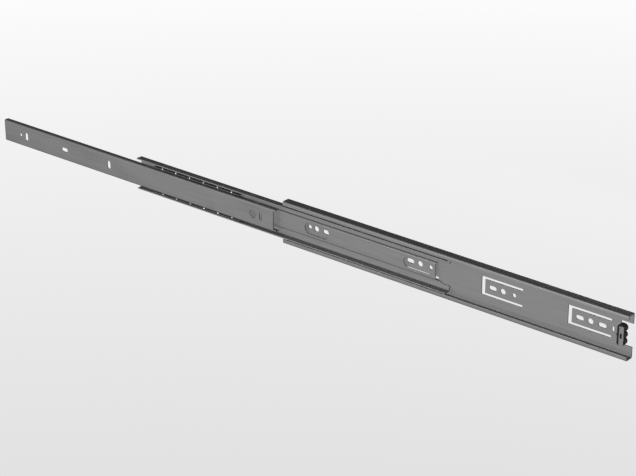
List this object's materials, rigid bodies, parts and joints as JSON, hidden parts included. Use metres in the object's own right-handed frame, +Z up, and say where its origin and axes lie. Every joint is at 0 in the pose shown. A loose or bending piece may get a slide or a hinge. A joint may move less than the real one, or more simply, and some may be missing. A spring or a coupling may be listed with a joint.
{
  "type": "drawer slide",
  "caption": "Three-section, full-extension ball-bearing drawer slide: cabinet, intermediate and drawer members telescope on ball races, with a rubber bumper at the back.",
  "frame": {"origin": "on the cabinet member's mounting face, at the middle of its length and of its height", "axes": "+X along the slide towards the back of the cabinet, which is the closing direction; +Y into the cabinet wall; +Z up"},
  "size_m": [0.8005, 0.0127, 0.0456],
  "materials": {
    "zinc_steel": "satin zinc plate",
    "retainer_steel": "bright zinc plate",
    "ball_steel": "polished",
    "bumper_rubber": "matt"
  },
  "bodies": {
    "cabinet": {"cabinet_member": "zinc_steel", "rear_bumper": "bumper_rubber"},
    "outer_race": {"outer_ball_retainer": "retainer_steel", "outer_ball_upper_1": "ball_steel", "outer_ball_upper_2": "ball_steel", "outer_ball_upper_3": "ball_steel", "outer_ball_upper_4": "ball_steel", "outer_ball_upper_5": "ball_steel", "outer_ball_lower_1": "ball_steel", "outer_ball_lower_2": "ball_steel", "outer_ball_lower_3": "ball_steel", "outer_ball_lower_4": "ball_steel", "outer_ball_lower_5": "ball_steel"},
    "intermediate": {"intermediate_member": "zinc_steel"},
    "inner_race": {"inner_ball_retainer": "retainer_steel", "inner_ball_upper_1": "ball_steel", "inner_ball_upper_2": "ball_steel", "inner_ball_upper_3": "ball_steel", "inner_ball_upper_4": "ball_steel", "inner_ball_upper_5": "ball_steel", "inner_ball_upper_6": "ball_steel", "inner_ball_lower_1": "ball_steel", "inner_ball_lower_2": "ball_steel", "inner_ball_lower_3": "ball_steel", "inner_ball_lower_4": "ball_steel", "inner_ball_lower_5": "ball_steel", "inner_ball_lower_6": "ball_steel"},
    "drawer": {"drawer_member": "zinc_steel"}
  },
  "joints": [
    {"name": "intermediate_slide", "type": "slide", "parent": "cabinet", "child": "intermediate", "axis": [1, 0, 0], "range_m": [0, 0.1995]},
    {"name": "drawer_slide", "type": "slide", "parent": "intermediate", "child": "drawer", "axis": [1, 0, 0], "range_m": [0, 0.2005]},
    {"name": "outer_retainer_roll", "type": "slide", "parent": "cabinet", "child": "outer_race", "axis": [1, 0, 0], "range_m": [0, 0.09975]},
    {"name": "inner_retainer_roll", "type": "slide", "parent": "intermediate", "child": "inner_race", "axis": [1, 0, 0], "range_m": [0, 0.10025]}
  ],
  "couplings": [
    {"joint": "outer_retainer_roll", "follows": "intermediate_slide", "ratio": 0.5},
    {"joint": "inner_retainer_roll", "follows": "drawer_slide", "ratio": 0.5}
  ]
}
